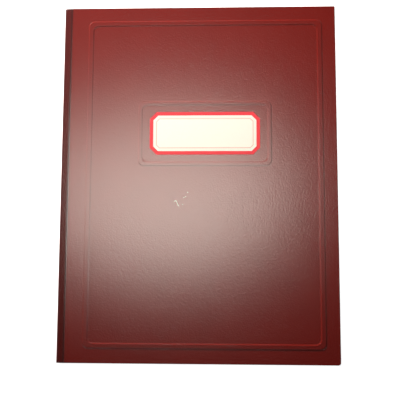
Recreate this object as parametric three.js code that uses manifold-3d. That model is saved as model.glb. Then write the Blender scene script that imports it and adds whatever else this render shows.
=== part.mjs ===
// Report folder of scored, embossed card, closed and lying on its back cover.
// Millimetres, +Z up, +X from the fold to the fore edge, +Y from tail to head,
// origin on the resting plane under the middle of the folder.
import * as THREE from 'three';
import { mergeVertices } from 'three/addons/utils/BufferGeometryUtils.js';
import Module from 'manifold-3d';

// Sheet: one piece of card folded at the left
const coverWidth = 225.4;
const coverHeight = 292.1;
const cardThickness = 0.5;
const wornCornerRadius = 2.2;

// Fold: a soft roll from score to score, kept open because the card springs back
const foldThickness = 3.2;
const hingeGap = 0.3;
const foreEdgeGap = 0.3;

// Score: the line pressed into both covers where they bend away from the fold
const scoreInset = 6.2;
const scoreWidth = 1.5;
const scoreDepth = 0.22;

// Embossing: bands of card pushed up through the front cover
const embossHeight = 0.3;
const embossRun = 0.9;
const embossRoot = 0.1;

// Border band, from each edge of the cover to the band's outer line
const borderFoldInset = 21;
const borderForeInset = 11.1;
const borderHeadInset = 11.7;
const borderTailInset = 11.8;
const borderBand = 3.8;
const borderCorner = 4.6;

// Title frame, the smaller band round the label
const titleFoldInset = 63.5;
const titleHeadInset = 80.2;
const titleWidth = 108.8;
const titleHeight = 53.4;
const titleBand = 2.9;
const titleCorner = 4.7;

// Label: a stuck-down card octagon, centred in the title frame
const labelWidth = 90.2;
const labelHeight = 35.4;
const labelChamfer = 5.6;
const labelThickness = 0.15;
const glueLine = 0.15;

// Binding strip: the reinforcement that holds the fasteners to the back cover
const stripFoldInset = 8.7;
const stripWidth = 19;
const stripEndInset = 7;
const stripThickness = 0.35;
const stripCorner = 2;

// Tang fasteners: a plate under the strip and two flat prongs folded apart
const fastenerPitch = 107.95;
const fastenerNames = ['head', 'middle', 'tail'];
const metalThickness = 0.25;
const plateWidth = 9;
const plateLength = 15;
const plateCorner = 1.2;
const prongWidth = 3.2;
const prongReach = 36;
const prongSpacing = 0.7;
const prongBend = 0.3;
const slotClearance = 0.3;

// Smoothness of curves
const cornerSegments = 8;
const foldSegments = 14;
const bendSegments = 4;

const wasm = await Module();
wasm.setup();

/** A closed geometry as a solid for joining and cutting. */
function toSolid(geometry) {
  const bare = geometry.index ? geometry.toNonIndexed() : geometry.clone();
  bare.deleteAttribute('normal');
  bare.deleteAttribute('uv');
  const merged = mergeVertices(bare, 1e-5);
  return new wasm.Manifold(new wasm.Mesh({
    numProp: 3,
    vertProperties: new Float32Array(merged.attributes.position.array),
    triVerts: new Uint32Array(merged.index.array),
  }));
}

/** A solid back as a geometry with flat shading normals. */
function toGeometry(solid) {
  const mesh = solid.getMesh();
  const indexed = new THREE.BufferGeometry();
  indexed.setAttribute('position', new THREE.BufferAttribute(mesh.vertProperties, 3));
  indexed.setIndex(new THREE.BufferAttribute(mesh.triVerts, 1));
  const geometry = indexed.toNonIndexed();
  geometry.computeVertexNormals();
  return geometry;
}

/** A named mesh with its own material. */
function piece(name, geometry, look) {
  const mesh = new THREE.Mesh(geometry, new THREE.MeshStandardMaterial(look));
  mesh.name = name;
  return mesh;
}

/** Traces a rectangle with round corners into a shape or a hole. */
function traceRounded(path, left, right, bottom, top, radius) {
  path.moveTo(left + radius, bottom);
  path.lineTo(right - radius, bottom);
  path.absarc(right - radius, bottom + radius, radius, -Math.PI / 2, 0, false);
  path.lineTo(right, top - radius);
  path.absarc(right - radius, top - radius, radius, 0, Math.PI / 2, false);
  path.lineTo(left + radius, top);
  path.absarc(left + radius, top - radius, radius, Math.PI / 2, Math.PI, false);
  path.lineTo(left, bottom + radius);
  path.absarc(left + radius, bottom + radius, radius, Math.PI, Math.PI * 1.5, false);
  return path;
}

/** The outline of a bent sheet, from the line through the middle of its section. */
function sheetSection(line, thickness) {
  const offsets = line.map((point, i) => {
    const before = line[Math.max(i - 1, 0)];
    const after = line[Math.min(i + 1, line.length - 1)];
    const arriving = (i > 0 ? point.clone().sub(before) : after.clone().sub(point)).normalize();
    const leaving = (after === point ? arriving : after.clone().sub(point)).clone().normalize();
    const along = arriving.clone().add(leaving).normalize();
    const across = new THREE.Vector2(-along.y, along.x);
    const mitre = across.dot(new THREE.Vector2(-arriving.y, arriving.x));
    return across.multiplyScalar(thickness / 2 / mitre);
  });
  const near = line.map((point, i) => point.clone().sub(offsets[i]));
  const far = line.map((point, i) => point.clone().add(offsets[i]));
  return new THREE.Shape([...near, ...far.reverse()]);
}

/** Extrudes a section drawn in X and Z evenly about the X-Z plane. */
function extrudeAcross(section, length) {
  const geometry = new THREE.ExtrudeGeometry(section, { depth: length, bevelEnabled: false });
  geometry.rotateX(Math.PI / 2);
  geometry.translate(0, length / 2, 0);
  return geometry;
}

/** Extrudes an outline drawn in X and Y straight up from a height. */
function extrudeUp(outline, base, height) {
  const options = { depth: height, bevelEnabled: false, curveSegments: cornerSegments };
  const geometry = new THREE.ExtrudeGeometry(outline, options);
  geometry.translate(0, 0, base);
  return geometry;
}

// Places that both covers share
const foldX = -coverWidth / 2;
const foreX = coverWidth / 2;
const headY = coverHeight / 2;
const tailY = -coverHeight / 2;
const scoreX = foldX + scoreInset;
const scoreLip = scoreWidth / 2;
const backTop = cardThickness;

// The roll is half an ellipse on its side, and these are its middle line's half sizes
const foldLevel = foldThickness / 2;
const rollHalfWidth = scoreInset - scoreLip - cardThickness / 2;
const rollHalfHeight = foldLevel - cardThickness / 2;
const splitAngle = Math.asin(hingeGap / 2 / rollHalfHeight);

// The front cover's middle line at the score and at the fore edge
const scoreZ = foldThickness - cardThickness / 2;
const foreZ = backTop + foreEdgeGap + cardThickness / 2;
const panelFall = Math.atan2(scoreZ - foreZ, foreX - scoreX);

/** The front cover's frame: X along the panel from the score, Z out of its face. */
function frontPanelFrame() {
  const frame = new THREE.Group();
  const half = cardThickness / 2;
  frame.position.set(scoreX + half * Math.sin(panelFall), 0, scoreZ + half * Math.cos(panelFall));
  frame.rotation.y = panelFall;
  frame.updateMatrix();
  return frame;
}

/** The cover's outline from above, with the worn corner at the tail of the fore edge. */
function coverOutline() {
  const outline = new THREE.Shape();
  outline.moveTo(foldX - hingeGap, tailY);
  outline.lineTo(foreX - wornCornerRadius, tailY);
  outline.absarc(foreX - wornCornerRadius, tailY + wornCornerRadius, wornCornerRadius,
    -Math.PI / 2, 0, false);
  outline.lineTo(foreX, headY);
  outline.lineTo(foldX - hingeGap, headY);
  return outline;
}

/** Trims a sheet that runs past the fore edge to the cover's outline. */
function trimToCover(sheet) {
  return toSolid(sheet).intersect(toSolid(extrudeUp(coverOutline(), -foldThickness, 3 * foldThickness)));
}

/** One embossed band: its walls slope inwards to a flat top above the sheet's face. */
function embossedBand(left, right, bottom, top, band, corner) {
  const side = embossRun / 2;
  const crest = traceRounded(new THREE.Shape(), left + side, right - side,
    bottom + side, top - side, corner - side);
  const inner = band - side;
  crest.holes.push(traceRounded(new THREE.Path(), left + inner, right - inner,
    bottom + inner, top - inner, corner - side));
  const geometry = new THREE.ExtrudeGeometry(crest, {
    depth: embossRoot,
    bevelEnabled: true,
    bevelThickness: embossHeight,
    bevelSize: embossRun,
    bevelSegments: 1,
    curveSegments: cornerSegments,
  });
  geometry.translate(0, 0, -embossRoot);
  return geometry;
}

/** Both bands, placed in the front panel's frame. */
function embossing() {
  const start = scoreInset;
  const border = embossedBand(
    borderFoldInset - start,
    coverWidth - borderForeInset - start,
    tailY + borderTailInset,
    headY - borderHeadInset,
    borderBand,
    borderCorner,
  );
  const title = embossedBand(
    titleFoldInset - start,
    titleFoldInset + titleWidth - start,
    headY - titleHeadInset - titleHeight,
    headY - titleHeadInset,
    titleBand,
    titleCorner,
  );
  return [border, title];
}

/** The front cover: half of the roll, the score and the panel with its embossing. */
function makeFrontCover(frame) {
  const middle = new THREE.Path();
  middle.absellipse(scoreX - scoreLip, foldLevel, rollHalfWidth, rollHalfHeight,
    Math.PI - splitAngle, Math.PI / 2, true);
  const line = middle.getPoints(foldSegments);
  line.push(new THREE.Vector2(scoreX, scoreZ - scoreDepth));
  line.push(new THREE.Vector2(scoreX + scoreLip, scoreZ - scoreLip * Math.tan(panelFall)));
  const overrun = 1;
  line.push(new THREE.Vector2(foreX + overrun, foreZ - overrun * Math.tan(panelFall)));
  let solid = trimToCover(extrudeAcross(sheetSection(line, cardThickness), coverHeight));
  for (const band of embossing()) {
    const raised = band.clone().applyMatrix4(frame.matrix);
    const hollow = band.clone().translate(0, 0, -cardThickness).applyMatrix4(frame.matrix);
    solid = solid.add(toSolid(raised)).subtract(toSolid(hollow));
  }
  return toGeometry(solid);
}

/** The back cover: the other half of the roll, its score and the flat resting panel. */
function makeBackCover() {
  const middle = new THREE.Path();
  middle.absellipse(scoreX - scoreLip, foldLevel, rollHalfWidth, rollHalfHeight,
    Math.PI + splitAngle, Math.PI * 1.5, false);
  const line = middle.getPoints(foldSegments);
  const level = cardThickness / 2;
  line.push(new THREE.Vector2(scoreX, level + scoreDepth));
  line.push(new THREE.Vector2(scoreX + scoreLip, level));
  const overrun = 1;
  line.push(new THREE.Vector2(foreX + overrun, level));
  return toGeometry(trimToCover(extrudeAcross(sheetSection(line, cardThickness), coverHeight)));
}

/** The label: an octagon, a rectangle with its corners cut off. */
function makeTitleLabel() {
  const halfWidth = labelWidth / 2;
  const halfHeight = labelHeight / 2;
  const outline = new THREE.Shape();
  outline.moveTo(-halfWidth + labelChamfer, -halfHeight);
  outline.lineTo(halfWidth - labelChamfer, -halfHeight);
  outline.lineTo(halfWidth, -halfHeight + labelChamfer);
  outline.lineTo(halfWidth, halfHeight - labelChamfer);
  outline.lineTo(halfWidth - labelChamfer, halfHeight);
  outline.lineTo(-halfWidth + labelChamfer, halfHeight);
  outline.lineTo(-halfWidth, halfHeight - labelChamfer);
  outline.lineTo(-halfWidth, -halfHeight + labelChamfer);
  return extrudeUp(outline, 0, labelThickness);
}

// The stack on the back cover, each layer a glue line above the one below
const stripMiddleX = foldX + stripFoldInset + stripWidth / 2;
const plateBottom = backTop + glueLine;
const stripBottom = plateBottom + metalThickness + glueLine;
const prongBottom = stripBottom + stripThickness + glueLine;
const fastenerPlaces = fastenerNames.map((name, i) => ({ name, y: fastenerPitch * (1 - i) }));

/** The binding strip, slotted where each pair of prongs comes through. */
function makeBindingStrip() {
  const outline = traceRounded(new THREE.Shape(),
    stripMiddleX - stripWidth / 2, stripMiddleX + stripWidth / 2,
    tailY + stripEndInset, headY - stripEndInset, stripCorner);
  const slotHalfWidth = prongWidth / 2 + slotClearance;
  const slotHalfLength = prongSpacing / 2 + metalThickness + slotClearance;
  for (const place of fastenerPlaces) {
    const slot = new THREE.Path();
    slot.moveTo(stripMiddleX - slotHalfWidth, place.y - slotHalfLength);
    slot.lineTo(stripMiddleX - slotHalfWidth, place.y + slotHalfLength);
    slot.lineTo(stripMiddleX + slotHalfWidth, place.y + slotHalfLength);
    slot.lineTo(stripMiddleX + slotHalfWidth, place.y - slotHalfLength);
    outline.holes.push(slot);
  }
  return extrudeUp(outline, stripBottom, stripThickness);
}

/** A prong from the side: up from the plate, round the bend and flat along the strip. */
function prongSection() {
  const half = metalThickness / 2;
  const riser = prongSpacing / 2 + half;
  const top = prongBottom - plateBottom + half;
  const middle = new THREE.Path();
  middle.moveTo(riser, half);
  middle.lineTo(riser, top - prongBend);
  middle.absarc(riser + prongBend, top - prongBend, prongBend, Math.PI, Math.PI / 2, true);
  middle.lineTo(prongReach, top);
  return sheetSection(middle.getPoints(bendSegments), metalThickness);
}

/** One fastener in its own frame, with its prongs lying along +Y and -Y. */
function makeFastener() {
  const plate = traceRounded(new THREE.Shape(), -plateWidth / 2, plateWidth / 2,
    -plateLength / 2, plateLength / 2, plateCorner);
  const blank = traceRounded(new THREE.Shape(), -prongWidth / 2, prongWidth / 2,
    -prongReach, prongReach, prongWidth / 2 - 0.01);
  const bent = extrudeAcross(prongSection(), prongWidth);
  const towardsHead = toSolid(bent.clone().rotateZ(Math.PI / 2));
  const towardsTail = toSolid(bent.clone().rotateZ(-Math.PI / 2));
  const prongs = towardsHead.add(towardsTail).intersect(toSolid(extrudeUp(blank, -1, foldThickness)));
  return toGeometry(prongs.add(toSolid(extrudeUp(plate, 0, metalThickness))));
}

const leatheretteLook = { color: 0x7a1a14, roughness: 0.5, metalness: 0 };
const labelLook = { color: 0xfffdf0, roughness: 0.6, metalness: 0 };
const stripLook = { color: 0x7a1a14, roughness: 0.7, metalness: 0 };
const metalLook = { color: 0xb9a36a, roughness: 0.35, metalness: 1 };

const folder = new THREE.Group();

const frontPanel = frontPanelFrame();
const titleLabel = piece('title_label', makeTitleLabel(), labelLook);
titleLabel.position.set(
  titleFoldInset + titleWidth / 2 - scoreInset,
  headY - titleHeadInset - titleHeight / 2,
  glueLine,
);
frontPanel.add(titleLabel);
folder.add(piece('front_cover', makeFrontCover(frontPanel), leatheretteLook));
folder.add(frontPanel);

folder.add(piece('back_cover', makeBackCover(), leatheretteLook));
folder.add(piece('binding_strip', makeBindingStrip(), stripLook));
for (const place of fastenerPlaces) {
  const fastener = piece(`tang_fastener_${place.name}`, makeFastener(), metalLook);
  fastener.position.set(stripMiddleX, place.y, plateBottom);
  folder.add(fastener);
}

export default folder;
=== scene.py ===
"""A closed report folder of red leather-grained card, seen from above in a soft studio.

The card is one sheet, folded at the left and scored beside the fold, with two embossed
bands and a stuck-down octagonal label. Inside are a binding strip and three fasteners.
"""

from __future__ import annotations

import logging
import math
from dataclasses import dataclass, field
from enum import Enum

import bmesh
import bpy
from mathutils import Matrix, Vector

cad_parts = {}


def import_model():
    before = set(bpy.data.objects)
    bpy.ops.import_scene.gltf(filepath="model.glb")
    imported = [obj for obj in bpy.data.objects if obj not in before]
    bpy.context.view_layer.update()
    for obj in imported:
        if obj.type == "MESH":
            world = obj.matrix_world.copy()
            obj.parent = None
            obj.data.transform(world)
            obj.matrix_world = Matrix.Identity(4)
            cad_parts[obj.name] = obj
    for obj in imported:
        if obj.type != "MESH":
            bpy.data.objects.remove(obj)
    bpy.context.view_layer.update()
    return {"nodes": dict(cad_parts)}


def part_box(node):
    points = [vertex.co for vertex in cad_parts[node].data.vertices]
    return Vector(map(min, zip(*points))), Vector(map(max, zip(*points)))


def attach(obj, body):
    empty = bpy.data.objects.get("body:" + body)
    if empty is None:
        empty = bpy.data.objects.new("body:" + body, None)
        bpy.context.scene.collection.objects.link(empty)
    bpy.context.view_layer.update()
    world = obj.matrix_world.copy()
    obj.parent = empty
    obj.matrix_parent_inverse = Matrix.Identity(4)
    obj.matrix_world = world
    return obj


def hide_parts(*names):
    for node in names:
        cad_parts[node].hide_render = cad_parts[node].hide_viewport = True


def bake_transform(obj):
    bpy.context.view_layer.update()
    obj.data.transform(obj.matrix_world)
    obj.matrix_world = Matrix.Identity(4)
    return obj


log = logging.getLogger("folder")

MM = 0.001
SAME_PLACE = 1e-6
ROUND_OFF = 1e-9
Colour = tuple[float, float, float, float]
Tree = bpy.types.NodeTree
Socket = bpy.types.NodeSocket


class Body(Enum):
    """The two bodies that the folder's hinge joins."""

    BACK = "back"
    FRONT = "front"


class CardSide(Enum):
    """The material slots of the folded sheet, in the order that its solidify step uses."""

    GRAINED = 0
    INSIDE = 1
    CUT_EDGE = 2


class LabelPrint(Enum):
    """The material slots of the label, from its edge inwards."""

    BORDER = 0
    MARGIN = 1
    RULE = 2
    FIELD = 3


def linear(hex_code: str) -> Colour:
    """Turns an sRGB hex colour into linear light.

    Args:
        hex_code: Six hex digits, such as "7a1c15".

    Returns:
        Red, green, blue and an alpha of 1.
    """
    shares = [int(hex_code[i : i + 2], 16) / 255 for i in (0, 2, 4)]
    red, green, blue = (
        c / 12.92 if c <= 0.04045 else ((c + 0.055) / 1.055) ** 2.4 for c in shares
    )
    return red, green, blue, 1.0


def add_node(
    tree: Tree,
    kind: str,
    inputs: dict[str | int, object] | None = None,
    **settings: object,
) -> bpy.types.Node:
    """Adds one node with its settings, its fixed inputs and its links.

    Args:
        tree: The node tree that gets the node.
        kind: Blender's name for the node's type.
        inputs: Socket names or numbers, each with a value or with a socket to link from.
        **settings: The node's own properties.

    Returns:
        The new node.
    """
    node = tree.nodes.new(kind)
    for name, value in settings.items():
        setattr(node, name, value)
    for socket, value in (inputs or {}).items():
        if isinstance(value, Socket):
            tree.links.new(value, node.inputs[socket])
        else:
            node.inputs[socket].default_value = value
    return node


def new_material(name: str) -> tuple[bpy.types.Material, Tree]:
    """Makes an empty node material.

    Args:
        name: The finish's plain name.

    Returns:
        The material and its node tree.
    """
    material = bpy.data.materials.new(name)
    material.use_nodes = True
    material.node_tree.nodes.clear()
    return material, material.node_tree


def spaced(start: float, stop: float, step: float) -> list[float]:
    """Lists evenly spaced values from start to stop, both included.

    Args:
        start: The first value.
        stop: The last value.
        step: The widest spacing.

    Returns:
        The values, in rising order.
    """
    count = max(1, math.ceil((stop - start) / step - ROUND_OFF))
    return [start + (stop - start) * i / count for i in range(count + 1)]


@dataclass(frozen=True)
class Zone:
    """A stretch of a sheet that needs closer grid lines."""

    low: float
    high: float
    step: float


def grid_lines(start: float, stop: float, coarse: float, zones: list[Zone]) -> list[float]:
    """Places grid lines along one direction of a sheet, as close as the closest zone asks.

    Args:
        start: The sheet's first edge.
        stop: Its other edge.
        coarse: The spacing outside the zones.
        zones: The stretches with a spacing of their own.

    Returns:
        The lines' places, in rising order.
    """
    edges = {start, stop}
    for zone in zones:
        edges |= {round(min(max(edge, start), stop), 7) for edge in (zone.low, zone.high)}
    places = sorted(edges)
    lines = [start]
    for low, high in zip(places, places[1:]):
        if high - low < SAME_PLACE:
            continue
        steps = [zone.step for zone in zones if zone.low <= (low + high) / 2 <= zone.high]
        lines += spaced(low, high, min(steps, default=coarse))[1:]
    lines[-1] = stop
    return lines


def smoothstep(x: float) -> float:
    """Rises from 0 to 1 with soft ends as x goes from 0 to 1."""
    t = min(1.0, max(0.0, x))
    return t * t * (3 - 2 * t)


def finish_object(
    name: str,
    mesh: bmesh.types.BMesh,
    materials: list[bpy.types.Material],
) -> bpy.types.Object:
    """Turns a bmesh into a smooth-shaded object at the origin.

    Args:
        name: The piece's name.
        mesh: The finished bmesh, which is freed.
        materials: The object's material slots, in order.

    Returns:
        The linked object.
    """
    data = bpy.data.meshes.new(name)
    mesh.to_mesh(data)
    mesh.free()
    for material in materials:
        data.materials.append(material)
    data.shade_smooth()
    piece = bpy.data.objects.new(name, data)
    bpy.context.scene.collection.objects.link(piece)
    return piece


@dataclass(frozen=True)
class Mark:
    """One small pale abrasion, an ellipse on the sheet's flat layout."""

    across: float
    up: float
    length: float
    width: float
    turn: float


@dataclass(frozen=True)
class GrainedCard:
    """Leatherette card: dyed stock, pressed with a fine leather grain and lacquered.

    The thin lacquer gives a wide soft highlight, which the grain breaks up. It has flowed
    into the creases of the embossing, so they show as light and shade on the dull stock.
    """

    colour: str = "790e04"
    worn_colour: str = "700d04"
    blotch_size: float = 22 * MM
    # The spine strip is darker, and a fainter painted shade runs along the score's crease.
    spine_shade: float = 0.45
    spine_width: float = 6.8 * MM
    spine_fade_inside: float = 0.5 * MM
    spine_fade_outside: float = 0.6 * MM
    score_painted_shade: float = 0.75
    score_painted_shade_width: float = 0.9 * MM
    # A mark is fully pale up to its core and fades out at its rim, in shares of its half size.
    mark_colour: str = "d9dccb"
    mark_core: float = 0.75
    mark_rim: float = 1.15
    marks: tuple[Mark, ...] = ()
    # Pebbles and pores are as coarse as such grain gets, because finer ones wouldn't show.
    grain_size: float = 1.0 * MM
    grain_depth: float = 0.066 * MM
    pore_size: float = 0.55 * MM
    pore_share: float = 0.5
    drift_size: float = 3 * MM
    drift_reach: float = 0.6 * MM
    # Shares of the embossing's height that come off the lacquer's relief and on to the stock's.
    levelling: float = 1.1
    sharpening: float = 0.8
    roughness: float = 0.26
    rub_size: float = 9 * MM
    rub_drift: float = 0.03
    stock_gloss: float = 0.0
    lacquer_ior: float = 1.8

    def build(self) -> bpy.types.Material:
        """Builds the material. It reads the sheet's own flat layout, in metres, from its UV map.

        Returns:
            The card's outer finish.
        """
        material, tree = new_material("leather_grained_card")
        layout = add_node(tree, "ShaderNodeUVMap", uv_map="SheetLayout").outputs["UV"]
        grain = self._grain(tree, layout)
        shader = add_node(
            tree,
            "ShaderNodeBsdfPrincipled",
            {
                "Base Color": self._abraded(tree, layout, self._dyed(tree, layout)),
                "Roughness": self._rubbed(tree, layout),
                "Specular IOR Level": self.stock_gloss,
                "Normal": self._normal(tree, grain, self.sharpening, level=False),
                "Coat Weight": 1.0,
                "Coat Roughness": self.roughness,
                "Coat IOR": self.lacquer_ior,
                "Coat Normal": self._normal(tree, grain, self.levelling, level=True),
            },
        )
        add_node(tree, "ShaderNodeOutputMaterial", {"Surface": shader.outputs["BSDF"]})
        return material

    def _dyed(self, tree: Tree, layout: Socket) -> Socket:
        """Mixes the dyed red with faint blotches, darkens it on the spine strip and paints shade along the
        score.

        Args:
            tree: The material's node tree.
            layout: The flat layout's coordinates.

        Returns:
            The colour.
        """
        blotches = add_node(
            tree,
            "ShaderNodeTexNoise",
            {"Vector": layout, "Scale": 1 / self.blotch_size, "Detail": 5.0},
        )
        dyed = add_node(
            tree,
            "ShaderNodeMix",
            {"Factor": blotches.outputs["Fac"], "A": linear(self.colour), "B": linear(self.worn_colour)},
            data_type="RGBA",
        )
        shaded = add_node(
            tree,
            "ShaderNodeMix",
            {"Factor": 1.0, "A": dyed.outputs["Result"], "B": self._spine(tree, layout)},
            data_type="RGBA",
            blend_type="MULTIPLY",
        )
        return shaded.outputs["Result"]

    def _spine(self, tree: Tree, layout: Socket) -> Socket:
        """Works out how much of the dyed colour is left on the darker spine strip and under the painted shade
        along the score.

        Args:
            tree: The material's node tree.
            layout: The flat layout's coordinates.

        Returns:
            The share that is left, 1 away from the spine.
        """
        across = add_node(tree, "ShaderNodeSeparateXYZ", {0: layout}).outputs["X"]
        distance = add_node(tree, "ShaderNodeMath", {0: across}, operation="ABSOLUTE").outputs[0]
        strip = add_node(
            tree,
            "ShaderNodeMapRange",
            {
                "Value": distance,
                "From Min": self.spine_width - self.spine_fade_inside,
                "From Max": self.spine_width + self.spine_fade_outside,
                "To Min": self.spine_shade,
                "To Max": 1.0,
            },
            interpolation_type="SMOOTHSTEP",
        )
        offset = add_node(tree, "ShaderNodeMath", {0: distance, 1: self.spine_width}, operation="SUBTRACT")
        from_score = add_node(tree, "ShaderNodeMath", {0: offset.outputs[0]}, operation="ABSOLUTE")
        # Painted shade: the colour darkens towards the score's crease.
        painted_score_shade = add_node(
            tree,
            "ShaderNodeMapRange",
            {
                "Value": from_score.outputs[0],
                "From Min": 0.0,
                "From Max": self.score_painted_shade_width,
                "To Min": self.score_painted_shade,
                "To Max": 1.0,
            },
            interpolation_type="SMOOTHSTEP",
        )
        both = {0: strip.outputs[0], 1: painted_score_shade.outputs[0]}
        return add_node(tree, "ShaderNodeMath", both, operation="MULTIPLY").outputs[0]

    def _abraded(self, tree: Tree, layout: Socket, base: Socket) -> Socket:
        """Lays the pale abrasion marks over the dyed colour.

        Args:
            tree: The material's node tree.
            layout: The flat layout's coordinates.
            base: The colour under the marks.

        Returns:
            The colour.
        """
        worn: Socket | float = 0.0
        for mark in self.marks:
            local = add_node(
                tree,
                "ShaderNodeMapping",
                {
                    "Vector": layout,
                    "Location": (mark.across, mark.up, 0.0),
                    "Rotation": (0.0, 0.0, mark.turn),
                    "Scale": (mark.length / 2, mark.width / 2, 1.0),
                },
                vector_type="TEXTURE",
            )
            reach = add_node(tree, "ShaderNodeVectorMath", {0: local.outputs[0]}, operation="LENGTH")
            spot = add_node(
                tree,
                "ShaderNodeMapRange",
                {
                    "Value": reach.outputs["Value"],
                    "From Min": self.mark_core,
                    "From Max": self.mark_rim,
                    "To Min": 1.0,
                    "To Max": 0.0,
                },
            )
            either = {0: worn, 1: spot.outputs[0]}
            worn = add_node(tree, "ShaderNodeMath", either, operation="MAXIMUM").outputs[0]
        mixed = add_node(
            tree,
            "ShaderNodeMix",
            {"Factor": worn, "A": base, "B": linear(self.mark_colour)},
            data_type="RGBA",
        )
        return mixed.outputs["Result"]

    def _rubbed(self, tree: Tree, layout: Socket) -> Socket:
        """Varies the stock's roughness a little, as uneven handling does.

        Args:
            tree: The material's node tree.
            layout: The flat layout's coordinates.

        Returns:
            The roughness.
        """
        rubbed = add_node(
            tree,
            "ShaderNodeTexNoise",
            {"Vector": layout, "Scale": 1 / self.rub_size, "Detail": 4.0},
        )
        roughness = add_node(
            tree,
            "ShaderNodeMapRange",
            {
                "Value": rubbed.outputs["Fac"],
                "To Min": self.roughness - self.rub_drift,
                "To Max": self.roughness + self.rub_drift,
            },
        )
        return roughness.outputs[0]

    def _grain(self, tree: Tree, layout: Socket) -> Socket:
        """Draws the leather grain: rounded pebbles with fine creases and pores between them.

        Args:
            tree: The material's node tree.
            layout: The flat layout's coordinates.

        Returns:
            The grain's depth, deepest in the creases.
        """
        drift = add_node(
            tree,
            "ShaderNodeTexNoise",
            {"Vector": layout, "Scale": 1 / self.drift_size, "Detail": 2.0},
        )
        bent = add_node(
            tree,
            "ShaderNodeVectorMath",
            {0: drift.outputs["Color"], 1: (self.drift_reach, self.drift_reach, 0.0), 2: layout},
            operation="MULTIPLY_ADD",
        )
        pebbles = add_node(
            tree,
            "ShaderNodeTexVoronoi",
            {"Vector": bent.outputs[0], "Scale": 1 / self.grain_size},
            feature="SMOOTH_F1",
        )
        pores = add_node(
            tree,
            "ShaderNodeTexNoise",
            {"Vector": layout, "Scale": 1 / self.pore_size, "Detail": 3.0},
        )
        depth = add_node(
            tree,
            "ShaderNodeMath",
            {0: pores.outputs["Fac"], 1: self.pore_share, 2: pebbles.outputs["Distance"]},
            operation="MULTIPLY_ADD",
        )
        return depth.outputs[0]

    def _normal(self, tree: Tree, grain: Socket, share: float, level: bool) -> Socket:
        """Changes the embossing's relief for one layer and presses the grain into it.

        Args:
            tree: The material's node tree.
            grain: The grain's depth.
            share: How much of the embossing's own height is added or taken away.
            level: Whether it is taken away.

        Returns:
            The layer's normal.
        """
        relief = add_node(tree, "ShaderNodeAttribute", attribute_name="emboss_relief")
        embossed = add_node(
            tree,
            "ShaderNodeBump",
            {"Strength": 1.0, "Distance": share, "Height": relief.outputs["Fac"]},
            invert=level,
        )
        pressed = add_node(
            tree,
            "ShaderNodeBump",
            {"Strength": 1.0, "Distance": self.grain_depth, "Height": grain, "Normal": embossed.outputs[0]},
            invert=True,
        )
        return pressed.outputs[0]


@dataclass(frozen=True)
class PlainCard:
    """Uncoated card: the same dyed stock without grain or lacquer, dull and slightly fibrous."""

    name: str
    colour: str
    fibre_colour: str
    layout: str = ""
    fibre_size: float = 0.8 * MM
    fibre_detail: float = 6.0
    fibre_depth: float = 0.03 * MM
    fibre_strength: float = 0.5
    roughness: float = 0.75

    def build(self) -> bpy.types.Material:
        """Builds the material. It reads the named UV map, or else Object coordinates.

        Returns:
            The fibrous finish.
        """
        material, tree = new_material(self.name)
        if self.layout:
            place = add_node(tree, "ShaderNodeUVMap", uv_map=self.layout).outputs["UV"]
        else:
            place = add_node(tree, "ShaderNodeTexCoord").outputs["Object"]
        noise = {"Vector": place, "Scale": 1 / self.fibre_size, "Detail": self.fibre_detail}
        fibres = add_node(tree, "ShaderNodeTexNoise", noise).outputs["Fac"]
        colour = add_node(
            tree,
            "ShaderNodeMix",
            {"Factor": fibres, "A": linear(self.fibre_colour), "B": linear(self.colour)},
            data_type="RGBA",
        )
        bump = add_node(
            tree,
            "ShaderNodeBump",
            {"Strength": self.fibre_strength, "Distance": self.fibre_depth, "Height": fibres},
        )
        shader = add_node(
            tree,
            "ShaderNodeBsdfPrincipled",
            {
                "Base Color": colour.outputs["Result"],
                "Roughness": self.roughness,
                "Normal": bump.outputs[0],
            },
        )
        add_node(tree, "ShaderNodeOutputMaterial", {"Surface": shader.outputs["BSDF"]})
        return material


@dataclass(frozen=True)
class LabelPaper(PlainCard):
    """Smooth machine-finished label paper, bare or printed: even colour with a faint fibre cloud."""

    fibre_size: float = 1.6 * MM
    fibre_detail: float = 4.0
    fibre_depth: float = 0.01 * MM
    fibre_strength: float = 0.2
    roughness: float = 0.55


@dataclass(frozen=True)
class TinnedSteel:
    """Tin-plated strip steel: bright, with the fine lines of rolling along the prongs.

    Real rolling lines are finer, and these are drawn as coarse as they need to show.
    """

    colour: str = "c9c6bf"
    line_size: float = 0.15 * MM
    line_stretch: float = 0.03
    line_depth: float = 0.01 * MM
    line_strength: float = 0.4
    roughness: float = 0.32
    smoother: float = 0.08
    rougher: float = 0.1

    def build(self) -> bpy.types.Material:
        """Builds the material.

        Returns:
            The fasteners' metal finish.
        """
        material, tree = new_material("tinned_strip_steel")
        place = add_node(tree, "ShaderNodeTexCoord").outputs["Object"]
        stretched = add_node(
            tree,
            "ShaderNodeMapping",
            {"Vector": place, "Scale": (1.0, self.line_stretch, 1.0)},
        )
        lines = add_node(
            tree,
            "ShaderNodeTexNoise",
            {"Vector": stretched.outputs[0], "Scale": 1 / self.line_size, "Detail": 3.0},
        )
        roughness = add_node(
            tree,
            "ShaderNodeMapRange",
            {
                "Value": lines.outputs["Fac"],
                "To Min": self.roughness - self.smoother,
                "To Max": self.roughness + self.rougher,
            },
        )
        bump = add_node(
            tree,
            "ShaderNodeBump",
            {"Strength": self.line_strength, "Distance": self.line_depth, "Height": lines.outputs["Fac"]},
        )
        shader = add_node(
            tree,
            "ShaderNodeBsdfPrincipled",
            {
                "Base Color": linear(self.colour),
                "Metallic": 1.0,
                "Roughness": roughness.outputs[0],
                "Normal": bump.outputs[0],
            },
        )
        add_node(tree, "ShaderNodeOutputMaterial", {"Surface": shader.outputs["BSDF"]})
        return material


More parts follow.
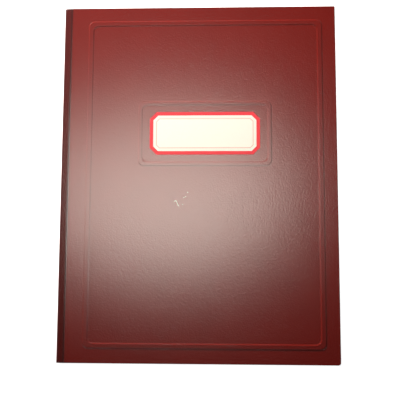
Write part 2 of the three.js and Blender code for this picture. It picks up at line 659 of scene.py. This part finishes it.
@dataclass(frozen=True)
class StudioPaper:
    """White backdrop paper. It glows faintly to the camera, so it stays white around the shadow."""

    colour: str = "f4f4f4"
    glow: float = 0.92

    def build(self) -> bpy.types.Material:
        """Builds the material.

        Returns:
            The floor's finish.
        """
        material, tree = new_material("white_backdrop_paper")
        rays = add_node(tree, "ShaderNodeLightPath")
        seen = add_node(
            tree,
            "ShaderNodeMath",
            {0: rays.outputs["Is Camera Ray"], 1: rays.outputs["Is Glossy Ray"]},
            operation="MAXIMUM",
        )
        shown = add_node(
            tree,
            "ShaderNodeMath",
            {0: seen.outputs[0], 1: rays.outputs["Is Transmission Ray"]},
            operation="MAXIMUM",
        )
        strength = add_node(tree, "ShaderNodeMath", {0: shown.outputs[0], 1: self.glow}, operation="MULTIPLY")
        glow = add_node(tree, "ShaderNodeEmission", {"Strength": strength.outputs[0]})
        matt = add_node(tree, "ShaderNodeBsdfDiffuse", {"Color": linear(self.colour)})
        both = add_node(tree, "ShaderNodeAddShader", {0: glow.outputs[0], 1: matt.outputs[0]})
        add_node(tree, "ShaderNodeOutputMaterial", {"Surface": both.outputs[0]})
        return material


@dataclass(frozen=True)
class RoundedFrame:
    """An embossed band: the strip between two rectangles with round corners."""

    left: float
    right: float
    bottom: float
    top: float
    band: float
    corner: float
    grid_outside: float = 0.9 * MM
    grid_inside: float = 0.3 * MM
    grid_step: float = 0.4 * MM
    wall_rows: int = 7

    def _inside(self, across: float, up: float, inset: float) -> float:
        """Measures how far a point lies inside a rectangle that is inset from the frame's outer line.

        Args:
            across: The point's distance from the fold.
            up: Its place from tail to head.
            inset: How far the rectangle is inset.

        Returns:
            The distance in metres, negative outside.
        """
        half_width = (self.right - self.left) / 2 - inset
        half_height = (self.top - self.bottom) / 2 - inset
        x = abs(across - (self.left + self.right) / 2) - half_width + self.corner
        y = abs(up - (self.bottom + self.top) / 2) - half_height + self.corner
        outside = math.hypot(max(x, 0.0), max(y, 0.0)) + min(max(x, y), 0.0)
        return self.corner - outside

    def height(self, across: float, up: float, run: float) -> float:
        """Gives the band's height at a point, as a share of its full height.

        Args:
            across: The point's distance from the fold.
            up: Its place from tail to head.
            run: The width of the band's sloping walls.

        Returns:
            A share from 0 to 1.
        """
        outer = smoothstep(self._inside(across, up, 0.0) / run + 0.5)
        inner = smoothstep(self._inside(across, up, self.band) / run + 0.5)
        return outer - inner

    def zones(self, run: float) -> tuple[list[Zone], list[Zone]]:
        """Lists where the sheet's grid has to be close to follow the band, closest on its walls.

        Args:
            run: The width of the band's sloping walls.

        Returns:
            The zones across the sheet and the zones up it.
        """
        before = self.grid_outside
        after = self.band + self.corner + self.grid_inside
        across: list[Zone] = []
        up: list[Zone] = []
        for zones, low, high in ((across, self.left, self.right), (up, self.bottom, self.top)):
            zones.append(Zone(low - before, low + after, self.grid_step))
            zones.append(Zone(high - after, high + before, self.grid_step))
            for wall in (low, low + self.band, high - self.band, high):
                zones.append(Zone(wall - run / 2, wall + run / 2, run / self.wall_rows))
        return across, up


@dataclass
class SheetSection:
    """The line of the card's outer face from the fold to a fore edge, measured along the card."""

    points: list[Vector]
    lengths: list[float] = field(init=False)

    def __post_init__(self) -> None:
        """Adds up the length along the line."""
        self.lengths = [0.0]
        for before, after in zip(self.points, self.points[1:]):
            self.lengths.append(self.lengths[-1] + (after - before).length)

    @property
    def total(self) -> float:
        """The whole length in metres."""
        return self.lengths[-1]

    def at(self, distance: float) -> tuple[Vector, Vector]:
        """Finds the place and direction at a distance along the line.

        Args:
            distance: Metres from the fold.

        Returns:
            The point and the unit direction, both in X and Z.
        """
        reached = min(max(distance, 0.0), self.total)
        i = 0
        while i < len(self.lengths) - 2 and self.lengths[i + 1] < reached:
            i += 1
        start, stop = self.points[i], self.points[i + 1]
        share = (reached - self.lengths[i]) / (self.lengths[i + 1] - self.lengths[i])
        return start.lerp(stop, share), (stop - start).normalized()

    def distance_at(self, x: float) -> float:
        """Finds how far along the line its X reaches a value.

        Args:
            x: The X to look for, past the fold.

        Returns:
            Metres along the line.
        """
        for i, (start, stop) in enumerate(zip(self.points, self.points[1:])):
            if start.x <= x <= stop.x and stop.x > start.x:
                share = (x - start.x) / (stop.x - start.x)
                return self.lengths[i] + share * (self.lengths[i + 1] - self.lengths[i])
        return self.total


@dataclass
class FoldedCover:
    """The cover: one sheet of grained card from fore edge to fore edge, folded and scored."""

    card: float = 0.5 * MM
    fold_thickness: float = 3.2 * MM
    score_inset: float = 6.2 * MM
    score_lip: float = 0.75 * MM
    score_depth: float = 0.22 * MM
    spine_tilt: float = math.radians(5)
    spine_shade_past_score: float = 0.6 * MM
    fore_gap: float = 0.3 * MM
    worn_corner: float = 2.2 * MM
    emboss_height: float = 0.3 * MM
    emboss_run: float = 0.9 * MM
    border_insets: tuple[float, float, float, float] = (21 * MM, 11.1 * MM, 11.8 * MM, 11.7 * MM)
    border_band: float = 3.8 * MM
    border_corner: float = 4.6 * MM
    title_fold_inset: float = 63.5 * MM
    title_head_inset: float = 80.2 * MM
    title_width: float = 108.8 * MM
    title_height: float = 53.4 * MM
    title_band: float = 2.9 * MM
    title_corner: float = 4.7 * MM
    # How finely the sheet's section and its grid are divided.
    roll_steps: int = 18
    strip_step: float = 0.5 * MM
    lip_steps: int = 6
    corner_steps: int = 5
    fine_step: float = 0.25 * MM
    fine_past_score: float = 2 * MM
    fine_at_head: float = 0.5 * MM
    coarse_step: float = 9 * MM
    blend_reach: float = 0.4 * MM

    def __post_init__(self) -> None:
        """Takes the folder's outline from the CAD back cover."""
        low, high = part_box("back_cover")
        self.fold_x = low.x
        self.fore_x = high.x
        self.tail = low.y
        self.head = high.y
        self.score_x = self.fold_x + self.score_inset
        self.level = self.fold_thickness / 2
        self.fall = math.atan2(
            self.fold_thickness - 2 * self.card - self.fore_gap,
            self.fore_x - self.score_x,
        )
        self.front = SheetSection(self._front_line())
        self.back = SheetSection(self._back_line())

    @property
    def width(self) -> float:
        """The cover's width from fold to fore edge."""
        return self.fore_x - self.fold_x

    def _groove(self, x: float) -> float:
        """The depth of the pressed score at an X."""
        reach = abs(x - self.score_x) / self.score_lip
        return self.score_depth * (0.5 + 0.5 * math.cos(math.pi * reach)) if reach < 1 else 0.0

    def _score_places(self) -> list[float]:
        """The X of each point of the section from one lip of the score to the other."""
        lip = self.score_lip
        return spaced(self.score_x - lip, self.score_x + lip, lip / self.lip_steps)

    def _roll(self, rising: int) -> list[Vector]:
        """Draws half of the fold, from its tight round nose up the tilted spine strip to the score.

        Args:
            rising: 1 for the front cover's half, -1 for the back cover's.

        Returns:
            Points in X and Z, as vectors with no Y.
        """
        half_width = self.score_inset - self.score_lip
        slope = math.tan(self.spine_tilt)
        radius = (self.level - slope * half_width) / (1 / math.cos(self.spine_tilt) - slope)
        turn = math.pi / 2 - self.spine_tilt
        line: list[Vector] = []
        for i in range(self.roll_steps + 1):
            angle = turn * i / self.roll_steps
            x = self.fold_x + radius * (1 - math.cos(angle))
            line.append(Vector((x, 0, self.level + rising * radius * math.sin(angle))))
        for x in spaced(line[-1].x, self.fold_x + half_width, self.strip_step)[1:]:
            drop = slope * (self.fold_x + half_width - x)
            line.append(Vector((x, 0, self.level + rising * (self.level - drop))))
        return line

    def _front_line(self) -> list[Vector]:
        """Draws the front cover's outer face, down to its fore edge resting over the back cover.

        Returns:
            Points in X and Z, from the fold to the fore edge.
        """
        line = self._roll(1)
        for x in self._score_places()[1:]:
            drop = max(0.0, x - self.score_x) * math.tan(self.fall)
            line.append(Vector((x, 0, self.fold_thickness - drop - self._groove(x))))
        line.append(Vector((self.fore_x, 0, 2 * self.card + self.fore_gap)))
        return line

    def _back_line(self) -> list[Vector]:
        """Draws the back cover's outer face, which the folder rests on.

        Returns:
            Points in X and Z, from the fold to the fore edge.
        """
        line = self._roll(-1)
        for x in self._score_places()[1:]:
            line.append(Vector((x, 0, self._groove(x))))
        line.append(Vector((self.fore_x, 0, 0)))
        return line

    def layout_across(self, inset: float) -> float:
        """Turns a distance from the fold, seen from above, into one along the front's outer face."""
        return self.front.distance_at(self.fold_x + inset)

    def bands(self) -> list[RoundedFrame]:
        """Places the border and the title frame on the sheet's flat layout.

        Returns:
            The two embossed frames.
        """
        fold, fore, tail, head = self.border_insets
        border = RoundedFrame(
            self.layout_across(fold),
            self.layout_across(self.width - fore),
            self.tail + tail,
            self.head - head,
            self.border_band,
            self.border_corner,
        )
        title = RoundedFrame(
            self.layout_across(self.title_fold_inset),
            self.layout_across(self.title_fold_inset + self.title_width),
            self.head - self.title_head_inset - self.title_height,
            self.head - self.title_head_inset,
            self.title_band,
            self.title_corner,
        )
        return [border, title]

    def _lines(self, bands: list[RoundedFrame]) -> tuple[list[float], list[float]]:
        """Places the sheet's grid lines, close at edges, scores, roll and embossing.

        Args:
            bands: The embossed frames.

        Returns:
            The lines across the layout and the lines up it.
        """
        edge = self.worn_corner
        edge_step = edge / self.corner_steps
        rolled = self.layout_across(self.score_inset + self.fine_past_score)
        across = [
            Zone(-self.back.total, -self.back.total + edge, edge_step),
            Zone(-rolled, rolled, self.fine_step),
            Zone(self.front.total - edge, self.front.total, edge_step),
        ]
        up = [
            Zone(self.tail, self.tail + edge, edge_step),
            Zone(self.head - self.fine_at_head, self.head, self.fine_step),
        ]
        for band in bands:
            band_across, band_up = band.zones(self.emboss_run)
            across += band_across
            up += band_up
        return (
            grid_lines(-self.back.total, self.front.total, self.coarse_step, across),
            grid_lines(self.tail, self.head, self.coarse_step, up),
        )

    def _round_corner(self, across: float, up: float) -> tuple[float, float]:
        """Bends the layout near the worn corner at the tail of both fore edges.

        Args:
            across: The layout's distance from the fold.
            up: The place from tail to head.

        Returns:
            The bent place.
        """
        radius = self.worn_corner
        total = self.front.total if across >= 0 else self.back.total
        outwards = abs(across) - (total - radius)
        down = self.tail + radius - up
        if outwards <= 0 or down <= 0:
            return across, up
        shrink = max(outwards, down) / math.hypot(outwards, down)
        side = 1 if across >= 0 else -1
        return side * (total - radius + outwards * shrink), self.tail + radius - down * shrink

    def build(self, marks: tuple[Mark, ...]) -> bpy.types.Object:
        """Builds the whole folded sheet.

        Args:
            marks: The small abrasions on the front's outer face.

        Returns:
            The finished piece.
        """
        sheet = finish_object("folded_cover", self._mesh(), self._materials(marks))
        self._thicken(sheet)
        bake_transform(sheet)
        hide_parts("front_cover", "back_cover")
        return sheet

    def _mesh(self) -> bmesh.types.BMesh:
        """Models the sheet's outer face: a grid, folded along the section and embossed.

        Returns:
            The face, with its flat layout as a UV map and its relief as an attribute.
        """
        bands = self.bands()
        across_lines, up_lines = self._lines(bands)
        columns, rows = len(across_lines) - 1, len(up_lines) - 1
        mesh = bmesh.new()
        bmesh.ops.create_grid(mesh, x_segments=columns, y_segments=rows, size=1.0)
        layout = mesh.loops.layers.uv.new("SheetLayout")
        relief = mesh.verts.layers.float.new("emboss_relief")
        places: dict[bmesh.types.BMVert, tuple[float, float]] = {}
        for vertex in mesh.verts:
            column = round((vertex.co.x + 1) / 2 * columns)
            row = round((vertex.co.y + 1) / 2 * rows)
            places[vertex] = self._round_corner(across_lines[column], up_lines[row])
        for face in mesh.faces:
            for loop in face.loops:
                loop[layout].uv = places[loop.vert]
        for vertex, (across, up) in places.items():
            raised = self.emboss_height * sum(band.height(across, up, self.emboss_run) for band in bands)
            vertex.co = self._fold_up(across, up, raised)
            vertex[relief] = raised - self._groove(vertex.co.x)
        return mesh

    def _materials(self, marks: tuple[Mark, ...]) -> list[bpy.types.Material]:
        """Makes the finishes of the sheet's outer face, inside and cut edge.

        Args:
            marks: The small abrasions on the front's outer face.

        Returns:
            The material slots, in order.
        """
        spine_width = self.layout_across(self.score_inset + self.spine_shade_past_score)
        finishes: dict[CardSide, GrainedCard | PlainCard] = {
            CardSide.GRAINED: GrainedCard(spine_width=spine_width, marks=marks),
            CardSide.INSIDE: PlainCard("plain_card_inside", "7c241d", "681811", "SheetLayout"),
            # Painted shade: the cut edge is coloured darker than the card's own red, so it stays dark in the
            # side lamp's light.
            CardSide.CUT_EDGE: PlainCard("cut_card_edge_painted_shade", "5e1d15", "4a120c", "SheetLayout"),
        }
        return [finishes[side].build() for side in CardSide]

    def _fold_up(self, across: float, up: float, raised: float) -> Vector:
        """Moves a place on the flat layout to the folded and embossed sheet.

        Args:
            across: The layout's distance from the fold, negative on the back cover.
            up: The place from tail to head.
            raised: How far the embossing lifts the face there.

        Returns:
            The point on the outer face.
        """
        section = self.front if across >= 0 else self.back
        point, along = section.at(abs(across))
        outwards = Vector((-along.z, 0, along.x)) if across >= 0 else Vector((along.z, 0, -along.x))
        return Vector((point.x, up, point.z)) + outwards * raised

    def _thicken(self, sheet: bpy.types.Object) -> None:
        """Gives the sheet its thickness, inwards from the outer face.

        Args:
            sheet: The sheet's object.
        """
        wall = sheet.modifiers.new("card_thickness", "SOLIDIFY")
        wall.thickness = self.card
        wall.offset = -1.0
        wall.use_even_offset = True
        wall.material_offset = CardSide.INSIDE.value
        wall.material_offset_rim = CardSide.CUT_EDGE.value

    def panel_frame(self) -> Matrix:
        """The front panel's frame: X along it from the score, Z out of its face."""
        place = Matrix.Translation((self.score_x, 0, self.fold_thickness))
        return place @ Matrix.Rotation(self.fall, 4, "Y")


@dataclass
class TitleLabel:
    """The label: an octagon of paper with a printed border, a white margin, a rule and a bare field."""

    width: float = 90.2 * MM
    height: float = 35.4 * MM
    chamfer: float = 5.6 * MM
    thickness: float = 0.12 * MM
    border: float = 2.9 * MM
    margin: float = 2.45 * MM
    rule: float = 0.55 * MM
    glue: float = 0.01 * MM

    def build(self, cover: FoldedCover) -> bpy.types.Object:
        """Builds the label in the middle of the title frame.

        Args:
            cover: The cover that it is stuck to.

        Returns:
            The finished piece.
        """
        mesh = self._mesh()
        middle = Vector((
            cover.title_fold_inset + cover.title_width / 2 - cover.score_inset,
            cover.head - cover.title_head_inset - cover.title_height / 2,
            self.thickness + self.glue,
        ))
        mesh.transform(cover.panel_frame() @ Matrix.Translation(middle))
        bmesh.ops.recalc_face_normals(mesh, faces=mesh.faces)
        papers = {
            LabelPrint.BORDER: LabelPaper("red_printed_border", "ef2c39", "f5333f"),
            LabelPrint.MARGIN: LabelPaper("white_label_margin", "f7f2e4", "fbf7ea"),
            LabelPrint.RULE: LabelPaper("pale_red_rule", "ecbfae", "f0b5a2"),
            LabelPrint.FIELD: LabelPaper("cream_label_field", "fbf7e7", "fefbee"),
        }
        label = finish_object("printed_label", mesh, [papers[part].build() for part in LabelPrint])
        label.data.shade_flat()
        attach(label, Body.FRONT.value)
        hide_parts("title_label")
        return label

    def _mesh(self) -> bmesh.types.BMesh:
        """Models the label around the origin: an octagon with its printed rings and its paper edge.

        Returns:
            The label, with its face at a height of 0.
        """
        mesh = bmesh.new()
        bmesh.ops.create_grid(mesh, x_segments=1, y_segments=1, size=0.5)
        bmesh.ops.scale(mesh, vec=(self.width, self.height, 1), verts=mesh.verts)
        bmesh.ops.bevel(
            mesh,
            geom=mesh.verts[:],
            offset=self.chamfer,
            offset_type="ABSOLUTE",
            affect="VERTICES",
            segments=1,
            profile=0.5,
            material=-1,
        )
        bare_field = mesh.faces[:][0]
        rings = {
            LabelPrint.BORDER: self.border,
            LabelPrint.MARGIN: self.margin,
            LabelPrint.RULE: self.rule,
        }
        for part, inset in rings.items():
            ring = bmesh.ops.inset_region(
                mesh,
                faces=[bare_field],
                thickness=inset,
                use_boundary=True,
                use_even_offset=True,
            )
            for face in ring["faces"]:
                face.material_index = part.value
        bare_field.material_index = LabelPrint.FIELD.value
        rim = [edge for edge in mesh.edges if edge.is_boundary]
        wall = bmesh.ops.extrude_edge_only(mesh, edges=rim)
        lowered = [part for part in wall["geom"] if isinstance(part, bmesh.types.BMVert)]
        bmesh.ops.translate(mesh, vec=(0, 0, -self.thickness), verts=lowered)
        for part in wall["geom"]:
            if isinstance(part, bmesh.types.BMFace):
                part.material_index = LabelPrint.MARGIN.value
        return mesh


@dataclass
class Binding:
    """The binding strip and its three fasteners, carried over from the CAD and given their finish."""

    strip: str = "binding_strip"
    fasteners: tuple[str, ...] = ("tang_fastener_head", "tang_fastener_middle", "tang_fastener_tail")

    def dress(self, nodes: dict[str, bpy.types.Object]) -> None:
        """Gives the strip its card and the fasteners their metal.

        Args:
            nodes: The frame's CAD nodes by name.
        """
        finishes = {self.strip: PlainCard("binding_strip_card", "7c241d", "681811").build()}
        finishes |= dict.fromkeys(self.fasteners, TinnedSteel().build())
        for name, material in finishes.items():
            nodes[name].data.materials.clear()
            nodes[name].data.materials.append(material)
            log.info("dressed %s with %s", name, material.name)


@dataclass(frozen=True)
class Lamp:
    """A soft oval studio lamp that points at a spot on the folder."""

    name: str
    place: tuple[float, float, float]
    aim: tuple[float, float, float]
    power: float
    width: float
    depth: float
    spread: float
    tint: str = "ffffff"

    def build(self) -> None:
        """Hangs the lamp."""
        light = bpy.data.lights.new(self.name, "AREA")
        light.shape = "ELLIPSE"
        light.size = self.width
        light.size_y = self.depth
        light.energy = self.power
        light.color = linear(self.tint)[:3]
        light.spread = math.radians(self.spread)
        lamp = bpy.data.objects.new(self.name, light)
        lamp.location = self.place
        lamp.rotation_euler = (Vector(self.aim) - Vector(self.place)).to_track_quat("-Z", "Y").to_euler()
        bpy.context.scene.collection.objects.link(lamp)


@dataclass
class Studio:
    """The plain pale floor, the soft lamps and the camera above the folder.

    The camera's place and focal length come from the photograph's perspective.
    """

    eye: tuple[float, float, float] = (0.0253, -0.0721, 0.5248)
    forward: tuple[float, float, float] = (-0.0450, 0.1070, -0.9932)
    up: tuple[float, float, float] = (0.0005, 0.9943, 0.1070)
    focal_pixels: float = 650.0
    frame_pixels: float = 400.0
    sensor: float = 36.0
    clip_start: float = 0.01
    floor_radius: float = 3.0
    floor_segments: int = 96
    rim_height: float = 1.8
    cove_radius: float = 0.6
    cove_segments: int = 8
    ambient: float = 0.03
    lamps: tuple[Lamp, ...] = (
        Lamp(
            "overhead_softbox",
            place=(-0.078, 0.0719, 0.600),
            aim=(-0.07, 0.400, 0.0),
            power=1.52,
            width=0.43,
            depth=0.34,
            spread=108.0,
            tint="fff9ed",
        ),
        Lamp(
            "window_side_softbox",
            place=(-0.706, 1.173, 0.291),
            aim=(-0.02, 0.02, 0.0),
            power=3.2,
            width=0.2,
            depth=0.2,
            spread=50.0,
        ),
    )

    def build(self) -> None:
        """Sets up the floor, the lamps, the world, the view and the camera."""
        self._floor()
        for lamp in self.lamps:
            lamp.build()
        self._world()
        self._camera()
        bpy.context.scene.view_settings.view_transform = "Standard"

    def _floor(self) -> None:
        """Lays the backdrop paper under the folder, and curves it up to a low wall far around it."""
        mesh = bmesh.new()
        bmesh.ops.create_circle(mesh, cap_ends=True, segments=self.floor_segments, radius=self.floor_radius)
        rim = [edge for edge in mesh.edges if edge.is_boundary]
        wall = bmesh.ops.extrude_edge_only(mesh, edges=rim)
        raised = [part for part in wall["geom"] if isinstance(part, bmesh.types.BMVert)]
        bmesh.ops.translate(mesh, vec=(0, 0, self.rim_height), verts=raised)
        foot = [edge for edge in mesh.edges if all(abs(end.co.z) < SAME_PLACE for end in edge.verts)]
        bmesh.ops.bevel(
            mesh,
            geom=foot,
            offset=self.cove_radius,
            affect="EDGES",
            segments=self.cove_segments,
            profile=0.5,
            material=-1,
        )
        floor = finish_object("backdrop_paper", mesh, [StudioPaper().build()])

    def _world(self) -> None:
        """Fills the shadows softly."""
        world = bpy.data.worlds.new("soft_fill")
        bpy.context.scene.world = world
        world.use_nodes = True
        tree = world.node_tree
        tree.nodes.clear()
        fill = add_node(tree, "ShaderNodeBackground", {"Color": linear("ffffff"), "Strength": self.ambient})
        add_node(tree, "ShaderNodeOutputWorld", {"Surface": fill.outputs[0]})

    def _camera(self) -> None:
        """Places the camera."""
        lens = bpy.data.cameras.new("overhead_camera")
        lens.sensor_fit = "HORIZONTAL"
        lens.sensor_width = self.sensor
        lens.lens = self.sensor * self.focal_pixels / self.frame_pixels
        lens.clip_start = self.clip_start
        back = -Vector(self.forward).normalized()
        right = Vector(self.up).cross(back).normalized()
        upward = back.cross(right)
        turn = Matrix((right, upward, back)).transposed().to_4x4()
        camera = bpy.data.objects.new("overhead_camera", lens)
        camera.matrix_world = Matrix.Translation(self.eye) @ turn
        bpy.context.scene.collection.objects.link(camera)
        bpy.context.scene.camera = camera


@dataclass(frozen=True)
class Scuff:
    """The small pale scratch and flecks near the middle of the front cover.

    All values are in millimetres. The places are from the fold and from the head.
    """

    scratch: tuple[tuple[float, float], ...] = (
        (93.4, 163.0),
        (94.9, 162.3),
        (95.7, 164.1),
        (96.1, 165.4),
        (97.2, 166.9),
    )
    scratch_width: float = 0.55
    scratch_overlap: float = 0.4
    flecks: tuple[tuple[float, float], ...] = ((100.2, 165.5), (101.1, 159.8), (102.6, 159.0), (104.2, 155.7))
    fleck_length: float = 0.7
    fleck_width: float = 0.6

    def marks(self, cover: FoldedCover) -> tuple[Mark, ...]:
        """Places the marks on the sheet's flat layout.

        Args:
            cover: The cover that carries them.

        Returns:
            One mark for each stroke of the scratch and for each fleck.
        """
        marks: list[Mark] = []
        for start, stop in zip(self.scratch, self.scratch[1:]):
            across, down = stop[0] - start[0], stop[1] - start[1]
            marks.append(Mark(
                cover.layout_across((start[0] + across / 2) * MM),
                cover.head - (start[1] + down / 2) * MM,
                (math.hypot(across, down) + self.scratch_overlap) * MM,
                self.scratch_width * MM,
                math.atan2(-down, across),
            ))
        for inset, down in self.flecks:
            marks.append(Mark(
                cover.layout_across(inset * MM),
                cover.head - down * MM,
                self.fleck_length * MM,
                self.fleck_width * MM,
                0.0,
            ))
        return tuple(marks)


def main() -> None:
    """Builds the folder piece by piece on the frame, and the studio around it."""
    logging.basicConfig(level=logging.INFO, format="%(name)s: %(message)s")
    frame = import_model()
    cover = FoldedCover()
    sheet = cover.build(Scuff().marks(cover))
    log.info("built %s with %d faces", sheet.name, len(sheet.data.polygons))
    label = TitleLabel().build(cover)
    log.info("built %s with %d faces", label.name, len(label.data.polygons))
    Binding().dress(frame["nodes"])
    Studio().build()
    log.info("set up the studio")


if __name__ == "__main__":
    main()
